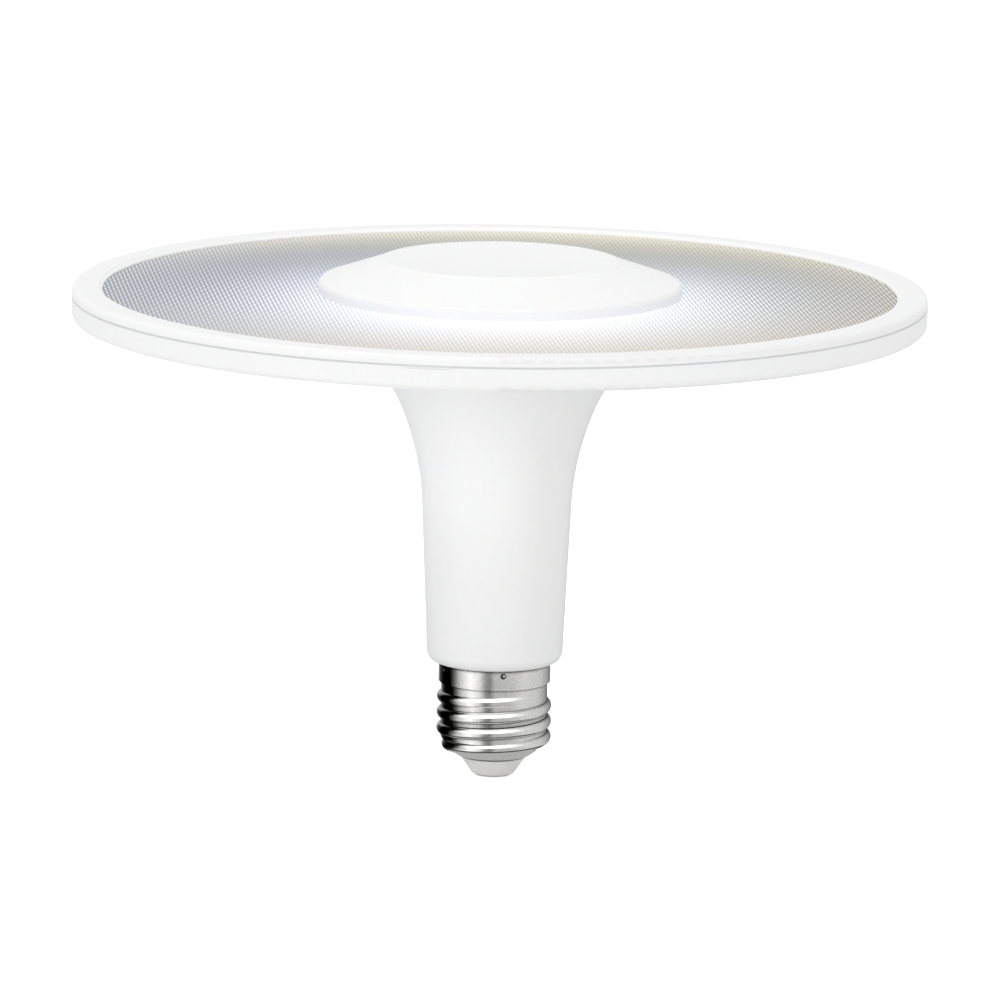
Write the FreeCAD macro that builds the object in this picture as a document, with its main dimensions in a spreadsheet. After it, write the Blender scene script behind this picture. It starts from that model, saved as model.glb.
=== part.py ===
"""Flat disc LED lamp with an E27 screw cap.

The lamp stands on its cap: the origin is the middle of the centre contact's face, +Z runs up
the neck to the disc, and lengths are in millimetres. Around the disc a clear light guide plate
is held by a two-piece rim, and a ring of LEDs on the hub shines into its inner edge.
"""
import FreeCAD, Part
import math
import os

import Sketcher
from FreeCAD import Vector

NAMED_SIZES = {
    # Centre contact and insulator of the screw cap
    "contact_r": 4.0,
    "contact_head": 0.4,
    "contact_shank_r": 1.1,
    "contact_peen": 0.8,
    "shank_clearance": 0.1,
    "insulator_tip_r": 4.8,
    "insulator_edge": 0.45,
    "insulator_step": 0.25,
    "insulator_rise": 4.0,
    "insulator_collar": 2.1,
    # Screw shell, rolled from thin brass sheet
    "shell_wall": 0.35,
    "shell_mouth_r": 7.8,
    "shell_dome_bow": 11.0,
    "shell_dome_rise": 4.6,
    "thread_root_r": 12.15,
    "thread_depth": 0.95,
    "thread_pitch": 3.629,
    "thread_half_width": 1.45,
    "thread_turns": 2.5,
    "thread_run_in_sink": 1.25,
    "thread_lead_in_sink": 2.5,
    "thread_lead_in_step": 0.04,
    "thread_leg": 1.6,
    "thread_run_out_sink": 1.1,
    "thread_seat": 0.15,
    "collar_step": 0.6,
    "collar_height": 4.5,
    "collar_slope": 0.35,
    "cap_length": 26.4,
    "dimple_count": 5,
    "dimple_ball_r": 0.8,
    "dimple_depth": 0.26,
    "dimple_drop": 1.2,
    "dimple_first": 9.4,
    # Trumpet housing, measured upwards from the cap
    "housing_wall": 1.7,
    "spigot_clearance": 0.1,
    "spigot_gap": 0.4,
    "spigot_wall": 1.7,
    "neck_floor": 2.0,
    "neck_lip": 0.15,
    "neck_fillet": 2.6,
    "neck_spread": 1.46,
    "neck_straight": 33.5,
    "flare_start_bow": 66.0,
    "flare_start_rise": 22.5,
    "flare_end_rise": 19.6,
    "hub_edge": 3.75,
    "hub_r": 41.2,
    # Light guide plate
    "plate_thickness": 3.0,
    "plate_r": 93.3,
    "plate_seat_overhang": 0.5,
    "led_to_plate": 0.5,
    # Rim, measured from the plate
    "rim_wall": 1.6,
    "rim_fillet": 1.5,
    "rim_drop": 3.45,
    "rim_seam_drop": 1.15,
    "rim_lip": 1.15,
    "rim_top_edge": 1.3,
    "rim_overlap": 3.4,
    "seam_groove": 0.25,
    "window_bevel": 0.8,
    "plate_edge_gap": 0.45,
    "rim_rib_wall": 1.3,
    "rim_rib_clearance": 0.15,
    "rim_rib_drop": 4.0,
    "pry_notch_width": 10.0,
    "pry_notch_height": 0.6,
    "pry_notch_depth": 0.4,
    "pry_notch_turn": -9.2,
    # Centre cover, measured from the plate's top
    "cover_wall": 1.6,
    "cover_skirt": 1.7,
    "cover_shoulder_inset": 1.4,
    "cover_shoulder_rise": 1.2,
    "cover_shoulder_round": 1.6,
    "cover_cone_rise": 4.2,
    "cover_lip_width": 1.4,
    "cover_lip_rise": 0.5,
    "cover_lip_round": 1.96,
    "cover_crest_r": 26.2,
    "cover_dish": 1.5,
    "hook_count": 6,
    "hook_width": 6.0,
    "hook_wall": 1.4,
    "hook_catch": 0.8,
    "hook_clearance": 0.2,
    # Aluminium cup and LED drum
    "metal_wall": 1.2,
    "cup_clearance": 0.1,
    "cup_foot_gap": 11.6,
    "cup_flange_margin": 4.0,
    "drum_drop": 3.95,
    "drum_rise": 1.45,
    "drum_gap": 2.17,
    "drum_lip": 1.2,
    "drum_hole_r": 9.0,
    "screw_count": 3,
    "screw_inset": 8.6,
    "screw_r": 1.5,
    "screw_head_r": 2.8,
    "screw_head": 1.6,
    "screw_length": 4.5,
    "screw_clearance": 0.2,
    "tapped_clearance": 0.05,
    "strip_height": 3.4,
    "strip_thickness": 0.4,
    "led_count": 36,
    "led_width": 3.5,
    "led_height": 2.8,
    "led_depth": 0.8,
    "glue_gap": 0.03,
    # Driver in the neck
    "sleeve_clearance": 0.58,
    "sleeve_wall": 0.9,
    "sleeve_headroom": 12.4,
    "rib_reach": 1.3,
    "rib_thickness": 1.2,
    "rib_clearance": 0.1,
    "board_thickness": 1.6,
    "board_edge_gap": 0.6,
    "board_foot_gap": 5.6,
    "board_headroom": 6.0,
    "rectifier_place": 7.0,
    "rectifier_long": 5.0,
    "rectifier_wide": 4.2,
    "rectifier_tall": 2.4,
    "bulk_capacitor_gap": 1.9,
    "bulk_capacitor_long": 15.0,
    "bulk_capacitor_place": 2.5,
    "transformer_place": 21.0,
    "transformer_gap": 1.1,
    "core_long": 12.0,
    "core_wide": 11.0,
    "core_limb": 2.6,
    "winding_r": 3.1,
    "bobbin_flange": 0.8,
    "film_capacitor_place": 20.0,
    "film_capacitor_long": 9.0,
    "film_capacitor_wide": 10.0,
    "film_capacitor_tall": 4.5,
    "film_capacitor_edge": 0.6,
    "chip_place": 35.0,
    "chip_long": 4.9,
    "chip_wide": 3.9,
    "chip_tall": 1.5,
    "output_capacitor_gap": 2.9,
    "output_capacitor_long": 11.0,
    "output_capacitor_place": 35.5,
    "resistor_r": 1.9,
    "resistor_long": 9.0,
    "resistor_place": 3.0,
    "resistor_across": 5.6,
    # Leads
    "lead_r": 0.65,
    "lead_bend": 4.0,
    "lead_board_across": 5.0,
    "led_lead_across": 6.0,
    "lead_overlap": 3.0,
    "lead_clearance": 0.25,
    "lead_hole_clearance": 0.35,
}

doc = FreeCAD.newDocument("disc_led_lamp")
sheet = doc.addObject("Spreadsheet::Sheet", "Sizes")


class Size:
    """A number together with the formula that ties it to the sheet."""

    def __init__(self, value, formula):
        self.value = float(value)
        self.formula = formula

    def __add__(self, other):
        other = as_size(other)
        return Size(self.value + other.value, "(%s + %s)" % (self.formula, other.formula))

    def __sub__(self, other):
        other = as_size(other)
        return Size(self.value - other.value, "(%s - %s)" % (self.formula, other.formula))

    def __mul__(self, other):
        other = as_size(other)
        return Size(self.value * other.value, "(%s * %s)" % (self.formula, other.formula))

    def __truediv__(self, other):
        other = as_size(other)
        return Size(self.value / other.value, "(%s / %s)" % (self.formula, other.formula))

    def __neg__(self):
        return Size(-self.value, "(0 - %s)" % self.formula)

    def __rsub__(self, other):
        return as_size(other) - self


def as_size(number):
    """A plain number as a size that never changes."""
    if isinstance(number, Size):
        return number
    return Size(number, "(%r)" % float(number))


def root(size):
    return Size(math.sqrt(size.value), "sqrt(%s)" % size.formula)


def sine(angle):
    return Size(math.sin(math.radians(angle.value)), "sin(%s)" % angle.formula)


def cosine(angle):
    return Size(math.cos(math.radians(angle.value)), "cos(%s)" % angle.formula)


def arc_sine(ratio):
    return Size(math.degrees(math.asin(ratio.value)), "(asin(%s) / 1 deg)" % ratio.formula)


def arc_tangent(ratio):
    return Size(math.degrees(math.atan(ratio.value)), "(atan(%s) / 1 deg)" % ratio.formula)


def fill_sheet():
    """Write every named size into the sheet and hand them back as sizes."""
    named = {}
    for row, (name, number) in enumerate(NAMED_SIZES.items(), start=1):
        sheet.set("A%d" % row, name)
        sheet.set("B%d" % row, repr(number))
        sheet.setAlias("B%d" % row, name)
        named[name] = Size(number, "Sizes.%s" % name)
    doc.recompute()
    return named


S = fill_sheet()
worked = doc.addObject("App::VarSet", "Worked")


def keep(name, size):
    """Keep a worked-out size under a name of its own, so that formulas stay short."""
    worked.addProperty("App::PropertyFloat", name)
    worked.setExpression(name, size.formula)
    return Size(size.value, "Worked.%s" % name)


# Heights and radii of the cap and the neck
SHELL_MOUTH = keep("shell_mouth", S["contact_head"] + S["insulator_rise"])
SHELL_DOME_TOP = keep("shell_dome_top", SHELL_MOUTH + S["shell_dome_rise"])
SHELL_BORE_R = keep("shell_bore_r", S["thread_root_r"] - S["shell_wall"])
COLLAR_R = keep("collar_r", S["thread_root_r"] + S["collar_step"])
COLLAR_START = keep("collar_start", S["cap_length"] - S["collar_height"])
THREAD_START = keep("thread_start", SHELL_DOME_TOP)
THREAD_END = keep("thread_end", THREAD_START + S["thread_pitch"] * S["thread_turns"])
HALF_PITCH = keep("half_pitch", S["thread_pitch"] / 2)
SPIGOT_R = keep("spigot_r", COLLAR_R - S["shell_wall"] - S["spigot_clearance"])
SPIGOT_BOTTOM = keep("spigot_bottom", COLLAR_START + S["spigot_gap"])
SPIGOT_BORE_R = keep("spigot_bore_r", SPIGOT_R - S["spigot_wall"])
NECK_FLOOR = keep("neck_floor_height", S["cap_length"] + S["neck_floor"])
NECK_START = keep("neck_start", S["cap_length"] + S["neck_fillet"])
NECK_FOOT_R = keep("neck_foot_r", COLLAR_R + S["neck_lip"] + S["neck_fillet"])
NECK_TOP_R = keep("neck_top_r", NECK_FOOT_R + S["neck_spread"])
NECK_END = keep("neck_end", NECK_START + S["neck_straight"])
NECK_TAPER = keep("neck_taper", arc_tangent(S["neck_spread"] / S["neck_straight"]))

# The flare is two arcs that run on from the neck's taper, both centred outside the lamp. The
# second one meets the first without a kink and ends at the hub's edge.
FIRST_TURN = keep("first_turn", arc_sine(sine(NECK_TAPER) + S["flare_start_rise"] / S["flare_start_bow"]))
BEND_R = keep("bend_r", NECK_TOP_R + S["flare_start_bow"] * (cosine(NECK_TAPER) - cosine(FIRST_TURN)))
BEND_HEIGHT = keep("bend_height", NECK_END + S["flare_start_rise"])
FLARE_END = keep("flare_end", BEND_HEIGHT + S["flare_end_rise"])
CHORD_ACROSS = keep("chord_across", S["hub_r"] - BEND_R)
HALF_TURN = keep("half_turn", arc_tangent(CHORD_ACROSS / S["flare_end_rise"]) - FIRST_TURN)
CHORD = keep("chord", root(CHORD_ACROSS * CHORD_ACROSS + S["flare_end_rise"] * S["flare_end_rise"]))
FLARE_BOW = keep("flare_bow", CHORD / (sine(HALF_TURN) * 2))
BOW_CENTRE_R = keep("bow_centre_r", BEND_R + FLARE_BOW * cosine(FIRST_TURN))
BOW_CENTRE_HEIGHT = keep("bow_centre_height", BEND_HEIGHT - FLARE_BOW * sine(FIRST_TURN))


def flare_radius(inset, height):
    """Radius, at a height, of the flare moved inwards by an inset."""
    bow = FLARE_BOW + inset
    drop = height - BOW_CENTRE_HEIGHT
    return BOW_CENTRE_R - root(bow * bow - drop * drop)


def neck_radius(inset, height):
    """Radius, at a height, of the tapered neck moved inwards by an inset."""
    slope = S["neck_spread"] / S["neck_straight"]
    return NECK_FOOT_R + slope * (height - NECK_START) - inset / cosine(NECK_TAPER)


# Heights and radii of the disc
PLATE_UNDERSIDE = keep("plate_underside", FLARE_END + S["hub_edge"])
PLATE_TOP = keep("plate_top", PLATE_UNDERSIDE + S["plate_thickness"])
DRUM_FLOOR = keep("drum_floor", PLATE_UNDERSIDE - S["drum_drop"])
DRUM_INSIDE_FLOOR = keep("drum_inside_floor", DRUM_FLOOR + S["metal_wall"])
DRUM_TOP = keep("drum_top", PLATE_TOP + S["drum_rise"])
DRUM_R = keep("drum_r", flare_radius(S["housing_wall"], DRUM_FLOOR) - S["drum_gap"])
DRUM_INSIDE_R = keep("drum_inside_r", DRUM_R - S["metal_wall"])
DRUM_LIP_R = keep("drum_lip_r", DRUM_INSIDE_R - S["drum_lip"])
SCREW_CIRCLE_R = keep("screw_circle_r", DRUM_INSIDE_R - S["screw_inset"])
STRIP_START = keep("strip_start", PLATE_UNDERSIDE + (S["plate_thickness"] - S["strip_height"]) / 2)
PLATE_BORE_R = keep("plate_bore_r", DRUM_R + S["strip_thickness"] + S["led_depth"] + S["led_to_plate"])
MOUTH_R = keep("mouth_r", PLATE_BORE_R + S["plate_seat_overhang"])
RIM_RIB_R = keep("rim_rib_r", S["plate_r"] + S["plate_edge_gap"] + S["rim_rib_wall"])
RIM_R = keep("rim_r", RIM_RIB_R + S["rim_rib_clearance"] + S["rim_wall"])
WINDOW_R = keep("window_r", S["plate_r"] - S["rim_overlap"])
RIM_BOTTOM = keep("rim_bottom", PLATE_UNDERSIDE - S["rim_drop"])
RIM_SEAM = keep("rim_seam", PLATE_TOP - S["rim_seam_drop"])
RIM_TOP = keep("rim_top", PLATE_TOP + S["rim_lip"])

# The cover's hooks catch under the drum's lip, and the LED leads run out just below them.
HOOK_TOP = keep("hook_top", DRUM_TOP - S["metal_wall"] - S["hook_clearance"])
HOOK_FOOT = keep("hook_foot", HOOK_TOP - S["hook_catch"] * 2)
LED_LEAD_HEIGHT = keep("led_lead_height", HOOK_FOOT - S["lead_clearance"] - S["lead_r"])

# The driver stands on the neck's floor, inside the cup.
CUP_START = keep("cup_start", NECK_FLOOR + S["cup_foot_gap"])
CUP_OUTSET = keep("cup_outset", S["housing_wall"] + S["cup_clearance"])
CUP_INSET = keep("cup_inset", CUP_OUTSET + S["metal_wall"])
SLEEVE_R = keep("sleeve_r", neck_radius(CUP_INSET, CUP_START) - S["sleeve_clearance"])
SLEEVE_BORE_R = keep("sleeve_bore_r", SLEEVE_R - S["sleeve_wall"])
SLEEVE_TOP = keep("sleeve_top", DRUM_FLOOR - S["sleeve_headroom"])
BOARD_FACE = keep("board_face", S["board_thickness"] / 2)
BOARD_HALF_WIDTH = keep("board_half_width", SLEEVE_BORE_R - S["board_edge_gap"])
BOARD_START = keep("board_start", NECK_FLOOR + S["board_foot_gap"])
BOARD_END = keep("board_end", SLEEVE_TOP - S["board_headroom"])


def origin_plane(body, role):
    for feature in body.Origin.OriginFeatures:
        if feature.Role == role:
            return feature
    raise ValueError("no origin plane named " + role)


def arc_between(start, end, radius, turn):
    """The short arc from start to end, anticlockwise when turn is 1 and clockwise when -1."""
    chord = end - start
    rise = math.sqrt(radius * radius - chord.Length * chord.Length / 4)
    left = Vector(-chord.y, chord.x, 0).normalize()
    centre = (start + end) * 0.5 + left * (rise * turn)
    first, last = (start, end) if turn > 0 else (end, start)
    first_angle = math.atan2(first.y - centre.y, first.x - centre.x)
    last_angle = math.atan2(last.y - centre.y, last.x - centre.x)
    if last_angle < first_angle:
        last_angle += 2 * math.pi
    circle = Part.Circle(centre, Vector(0, 0, 1), radius)
    return Part.ArcOfCircle(circle, first_angle, last_angle)


def bind(sketch, constraint, size):
    """Add a constraint with a value and tie the value to its formula."""
    index = sketch.addConstraint(constraint)
    sketch.setExpression("Constraints[%d]" % index, size.formula)


def new_sketch(body, name, role):
    sketch = body.newObject("Sketcher::SketchObject", name)
    sketch.AttachmentSupport = [(origin_plane(body, role), "")]
    sketch.MapMode = "FlatFace"
    return sketch


def outline(body, name, corners, role="XZ_Plane"):
    """Closed sketch through its corners.

    A corner is (across, up), or (across, up, radius, turn) where the edge that leaves it is
    an arc. A coordinate given as plain 0 lies on the sketch's own axis.
    """
    sketch = new_sketch(body, name, role)
    edges = []
    for index, corner in enumerate(corners):
        following = corners[(index + 1) % len(corners)]
        start = Vector(as_size(corner[0]).value, as_size(corner[1]).value, 0)
        end = Vector(as_size(following[0]).value, as_size(following[1]).value, 0)
        if len(corner) == 2:
            edges.append((sketch.addGeometry(Part.LineSegment(start, end), False), 1, 2))
            continue
        radius, turn = corner[2:]
        edge = sketch.addGeometry(arc_between(start, end, radius.value, turn), False)
        edges.append((edge, 1, 2) if turn > 0 else (edge, 2, 1))
        bind(sketch, Sketcher.Constraint("Radius", edge, radius.value), radius)
    for index, (edge, first, last) in enumerate(edges):
        previous = edges[index - 1]
        sketch.addConstraint(Sketcher.Constraint("Coincident", previous[0], previous[2], edge, first))
        across, up = corners[index][:2]
        if isinstance(across, Size):
            bind(sketch, Sketcher.Constraint("DistanceX", -1, 1, edge, first, across.value), across)
        else:
            sketch.addConstraint(Sketcher.Constraint("PointOnObject", edge, first, -2))
        if isinstance(up, Size):
            bind(sketch, Sketcher.Constraint("DistanceY", -1, 1, edge, first, up.value), up)
        else:
            sketch.addConstraint(Sketcher.Constraint("PointOnObject", edge, first, -1))
    return sketch


def new_body(label):
    body = doc.addObject("PartDesign::Body", label)
    body.Label = label
    return body


def turned(label, corners):
    """A body turned about Z from one closed outline in the XZ plane."""
    body = new_body(label)
    sketch = outline(body, label + "_outline", corners)
    feature = body.newObject("PartDesign::Revolution", label + "_turned")
    feature.Profile = sketch
    feature.ReferenceAxis = (sketch, ["V_Axis"])
    feature.Angle = 360
    doc.recompute()
    return body


def polar(body, feature, name, count):
    """Repeat a feature evenly about Z."""
    pattern = body.newObject("PartDesign::PolarPattern", name)
    pattern.Originals = [feature]
    pattern.Axis = (origin_axis(body, "Z_Axis"), [""])
    pattern.Angle = 360
    pattern.setExpression("Occurrences", count.formula)
    body.Tip = pattern
    doc.recompute()
    return pattern


def origin_axis(body, role):
    return origin_plane(body, role)


def place(feature, **places):
    """Tie the place of a primitive to formulas, such as x=size."""
    for axis, size in places.items():
        feature.setExpression(".Placement.Base.%s" % axis, as_size(size).formula)


def must_change(body, before, name):
    """Stop if a cut or an addition left the body's volume as it was."""
    after = body.Shape.Volume
    if abs(after - before) < 1e-4:
        raise RuntimeError(name + " changed nothing")
    return after


def centre_contact():
    """Flat rivet head with a shank through the insulator."""
    shank_top = S["contact_head"] + S["insulator_rise"] + S["insulator_collar"] + S["contact_peen"]
    return turned("centre_contact", [
        (0, 0),
        (S["contact_r"], 0),
        (S["contact_r"], S["contact_head"]),
        (S["contact_shank_r"], S["contact_head"]),
        (S["contact_shank_r"], shank_top),
        (0, shank_top),
    ])


def shell_dome_inside(height):
    """Inside radius of the shell's dome at a height between its mouth and its top."""
    mouth_r = S["shell_mouth_r"] - S["shell_wall"]
    share = (height - SHELL_MOUTH) / S["shell_dome_rise"]
    return mouth_r + (SHELL_BORE_R - mouth_r) * share


def cap_insulator():
    """Insulating cone that carries the contact and sits in the shell's mouth."""
    hole_r = S["contact_shank_r"] + S["shank_clearance"]
    top = SHELL_MOUTH + S["insulator_collar"]
    rise = S["insulator_rise"]
    cone_r = S["shell_mouth_r"] - S["insulator_step"]
    spread = cone_r - S["insulator_tip_r"]
    side = root(spread * spread + rise * rise)
    edge = S["insulator_edge"]
    edge_r = edge * rise / (side - spread)
    return turned("cap_insulator", [
        (hole_r, S["contact_head"]),
        (S["insulator_tip_r"] - edge, S["contact_head"], edge_r, 1),
        (S["insulator_tip_r"] + edge * spread / side, S["contact_head"] + edge * rise / side),
        (cone_r, SHELL_MOUTH),
        (S["shell_mouth_r"] - S["shell_wall"] - S["glue_gap"], SHELL_MOUTH),
        (shell_dome_inside(top) - S["glue_gap"], top),
        (hole_r, top),
    ])


def thread_section(body, name, inset, inner, height, side, sunk=as_size(0)):
    """Rounded rib of the rolled thread on two legs that reach inwards; side 1 is at +X."""
    depth = S["thread_depth"] + S["thread_seat"]
    half = S["thread_half_width"]
    bow = (half * half + depth * depth) / (depth * 2)
    centre_r = S["thread_root_r"] + S["thread_depth"] - bow
    round_r = bow - inset
    reach = root(round_r * round_r - (inner - centre_r) * (inner - centre_r))
    knee_r = inner - sunk
    foot_r = knee_r - S["thread_leg"]
    return outline(body, name, [
        (foot_r * side, height - reach),
        (knee_r * side, height - reach, round_r, side),
        (knee_r * side, height + reach),
        (foot_r * side, height + reach),
    ])


def helical(body, kind, name, sketch, height, sink, downward):
    """Sweep a section along the thread's right-hand helix, sinking evenly by sink on the way."""
    volume = body.Shape.Volume
    feature = body.newObject(kind, name)
    feature.Profile = sketch
    feature.ReferenceAxis = (sketch, ["V_Axis"])
    feature.Mode = "pitch-height-angle"
    feature.setExpression("Pitch", S["thread_pitch"].formula)
    feature.setExpression("Height", height.formula)
    feature.setExpression("Angle", (-arc_tangent(sink / height)).formula)
    feature.LeftHanded = False
    feature.Reversed = downward
    doc.recompute()
    must_change(body, volume, name)


def rolled_thread(body, kind, name, inset, inner):
    """The thread, which sinks into the dome below and into the shell's wall above."""
    foot = thread_section(body, name + "_foot", inset, inner, THREAD_START, 1)
    helical(body, kind, name, foot, THREAD_END - THREAD_START, as_size(0), False)
    helical(body, kind, name + "_run_in", foot, HALF_PITCH, S["thread_run_in_sink"], True)
    tail = thread_section(body, name + "_tail", inset, inner, THREAD_START - HALF_PITCH, -1,
                          S["thread_run_in_sink"] + S["thread_lead_in_step"])
    helical(body, kind, name + "_lead_in", tail, HALF_PITCH / 2, S["thread_lead_in_sink"], True)
    head = thread_section(body, name + "_head", inset, inner, THREAD_END, -1)
    helical(body, kind, name + "_run_out", head, HALF_PITCH, S["thread_run_out_sink"], False)


def screw_shell():
    """Thin shell with a rolled E27 thread, a domed foot and a collar staked to the housing."""
    wall = S["shell_wall"]
    collar_foot = COLLAR_START - S["collar_slope"]
    body = turned("screw_shell", [
        (S["shell_mouth_r"] - wall, SHELL_MOUTH),
        (S["shell_mouth_r"], SHELL_MOUTH, S["shell_dome_bow"], 1),
        (S["thread_root_r"], SHELL_DOME_TOP),
        (S["thread_root_r"], collar_foot),
        (COLLAR_R, COLLAR_START),
        (COLLAR_R, S["cap_length"]),
        (COLLAR_R - wall, S["cap_length"]),
        (COLLAR_R - wall, COLLAR_START),
        (SHELL_BORE_R, collar_foot),
        (SHELL_BORE_R, SHELL_DOME_TOP, S["shell_dome_bow"], -1),
    ])
    rolled_thread(body, "PartDesign::AdditiveHelix", "rolled_out", as_size(0),
                  S["thread_root_r"] - S["thread_seat"])
    rolled_thread(body, "PartDesign::SubtractiveHelix", "rolled_in", wall,
                  SHELL_BORE_R - S["thread_seat"])
    volume = body.Shape.Volume
    bore = outline(body, "bore_profile", [
        (0, SHELL_MOUTH),
        (S["shell_mouth_r"] - wall, SHELL_MOUTH, S["shell_dome_bow"], 1),
        (SHELL_BORE_R, SHELL_DOME_TOP),
        (SHELL_BORE_R, collar_foot),
        (0, collar_foot),
    ])
    clear = body.newObject("PartDesign::Groove", "bore_cleared")
    clear.Profile = bore
    clear.ReferenceAxis = (bore, ["V_Axis"])
    clear.Angle = 360
    doc.recompute()
    volume = must_change(body, volume, "bore_cleared")
    dimple = body.newObject("PartDesign::SubtractiveSphere", "stake_dimple")
    dimple.setExpression("Radius", S["dimple_ball_r"].formula)
    reach = COLLAR_R + S["dimple_ball_r"] - S["dimple_depth"]
    place(dimple, x=reach * sine(S["dimple_first"]), y=-(reach * cosine(S["dimple_first"])),
          z=S["cap_length"] - S["dimple_drop"])
    doc.recompute()
    volume = must_change(body, volume, "stake_dimple")
    polar(body, dimple, "stake_dimples", S["dimple_count"])
    must_change(body, volume, "stake_dimples")
    return body


def trumpet_housing():
    """Moulded neck with a spigot for the screw shell and a flare up to the plate's seat."""
    wall = S["housing_wall"]
    bend_inside_r = BEND_R - wall * cosine(FIRST_TURN)
    bend_inside_height = BEND_HEIGHT + wall * sine(FIRST_TURN)
    taper_r = NECK_TOP_R - wall * cosine(NECK_TAPER)
    taper_height = NECK_END + wall * sine(NECK_TAPER)
    mouth_drop = BOW_CENTRE_R - MOUTH_R
    bow = FLARE_BOW + wall
    mouth_height = BOW_CENTRE_HEIGHT + root(bow * bow - mouth_drop * mouth_drop)
    return turned("trumpet_housing", [
        (SPIGOT_BORE_R, SPIGOT_BOTTOM),
        (SPIGOT_R, SPIGOT_BOTTOM),
        (SPIGOT_R, S["cap_length"]),
        (NECK_FOOT_R - S["neck_fillet"], S["cap_length"], S["neck_fillet"], 1),
        (NECK_FOOT_R, NECK_START),
        (NECK_TOP_R, NECK_END, S["flare_start_bow"], -1),
        (BEND_R, BEND_HEIGHT, FLARE_BOW, -1),
        (S["hub_r"], FLARE_END),
        (S["hub_r"], PLATE_UNDERSIDE),
        (MOUTH_R, PLATE_UNDERSIDE),
        (MOUTH_R, mouth_height, bow, 1),
        (bend_inside_r, bend_inside_height, S["flare_start_bow"] + wall, 1),
        (taper_r, taper_height),
        (neck_radius(wall, NECK_FLOOR), NECK_FLOOR),
        (SPIGOT_BORE_R, NECK_FLOOR),
    ])


def drill(body, name, radius, depth, x, y, z):
    """Cut a round hole upwards from a point, and check that it cut."""
    volume = body.Shape.Volume
    hole = body.newObject("PartDesign::SubtractiveCylinder", name)
    hole.setExpression("Radius", radius.formula)
    hole.setExpression("Height", depth.formula)
    place(hole, x=x, y=y, z=z)
    doc.recompute()
    must_change(body, volume, name)
    return hole


def cooling_cup():
    """Drawn aluminium cup that lines the neck and carries the drum on its inward flange."""
    wall = S["metal_wall"]
    outside = CUP_OUTSET
    inside = CUP_INSET
    flange = DRUM_FLOOR - wall
    mouth_r = SCREW_CIRCLE_R - S["cup_flange_margin"]

    def bend(inset):
        return BEND_R - inset * cosine(FIRST_TURN), BEND_HEIGHT + inset * sine(FIRST_TURN)

    def taper(inset):
        return NECK_TOP_R - inset * cosine(NECK_TAPER), NECK_END + inset * sine(NECK_TAPER)

    body = turned("cooling_cup", [
        (neck_radius(inside, CUP_START), CUP_START),
        (neck_radius(outside, CUP_START), CUP_START),
        (*taper(outside), S["flare_start_bow"] + outside, -1),
        (*bend(outside), FLARE_BOW + outside, -1),
        (flare_radius(outside, DRUM_FLOOR), DRUM_FLOOR),
        (mouth_r, DRUM_FLOOR),
        (mouth_r, flange),
        (flare_radius(inside, flange), flange, FLARE_BOW + inside, 1),
        (*bend(inside), S["flare_start_bow"] + inside, 1),
        taper(inside),
    ])
    hole_r = S["screw_r"] + S["tapped_clearance"]
    hole = drill(body, "cup_screw_hole", hole_r, wall * 3, SCREW_CIRCLE_R, 0, flange - wall)
    polar(body, hole, "cup_screw_holes", S["screw_count"])
    return body


def led_drum():
    """Aluminium drum that carries the LED strip around its wall."""
    wall = S["metal_wall"]
    body = turned("led_drum", [
        (S["drum_hole_r"], DRUM_FLOOR),
        (DRUM_R, DRUM_FLOOR),
        (DRUM_R, DRUM_TOP),
        (DRUM_LIP_R, DRUM_TOP),
        (DRUM_LIP_R, DRUM_TOP - wall),
        (DRUM_INSIDE_R, DRUM_TOP - wall),
        (DRUM_INSIDE_R, DRUM_INSIDE_FLOOR),
        (S["drum_hole_r"], DRUM_INSIDE_FLOOR),
    ])
    hole_r = S["screw_r"] + S["screw_clearance"]
    hole = drill(body, "drum_screw_hole", hole_r, wall * 3, SCREW_CIRCLE_R, 0, DRUM_FLOOR - wall)
    polar(body, hole, "drum_screw_holes", S["screw_count"])
    for side, word in ((1, "front"), (-1, "back")):
        cut_lead_hole(body, word, (BOARD_FACE + S["lead_r"]) * side)
    return body


def cut_lead_hole(body, word, y):
    """Cut a sideways hole through the drum's wall for one LED lead."""
    volume = body.Shape.Volume
    hole = body.newObject("PartDesign::SubtractiveCylinder", "lead_hole_" + word)
    hole.setExpression("Radius", (S["lead_r"] + S["lead_hole_clearance"]).formula)
    hole.setExpression("Height", (S["metal_wall"] * 3).formula)
    hole.Placement = FreeCAD.Placement(Vector(), FreeCAD.Rotation(Vector(0, 1, 0), 90))
    place(hole, x=DRUM_INSIDE_R - S["metal_wall"], y=y, z=LED_LEAD_HEIGHT)
    doc.recompute()
    must_change(body, volume, "lead_hole_" + word)


def fixed_solids(label, solids):
    """A node of several like solids."""
    feature = doc.addObject("Part::Feature", label)
    feature.Label = label
    feature.Shape = Part.makeCompound(solids)
    feature.Placement = FreeCAD.Placement()
    return feature


def around(solid, count):
    """Copies of a solid spaced evenly about Z."""
    copies = []
    for index in range(count):
        copy = solid.copy()
        copy.rotate(Vector(0, 0, 0), Vector(0, 0, 1), 360.0 * index / count)
        copies.append(copy)
    return copies


def drum_screws():
    """Pan-head screws that hold the drum down on the cup."""
    floor = DRUM_INSIDE_FLOOR.value
    middle = Vector(SCREW_CIRCLE_R.value, 0, floor)
    shank_r = S["screw_r"].value
    shank = Part.makeCylinder(shank_r, S["screw_length"].value, middle, Vector(0, 0, -1))
    head = Part.makeCylinder(S["screw_head_r"].value, S["screw_head"].value, middle)
    top_edge = [edge for edge in head.Edges if edge.BoundBox.ZMin > floor + S["screw_head"].value / 2]
    head = head.makeFillet(S["screw_head"].value / 2, top_edge[:1])
    screw = head.fuse(shank)
    return fixed_solids("drum_screws", around(screw.Solids[0], int(S["screw_count"].value)))


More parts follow.
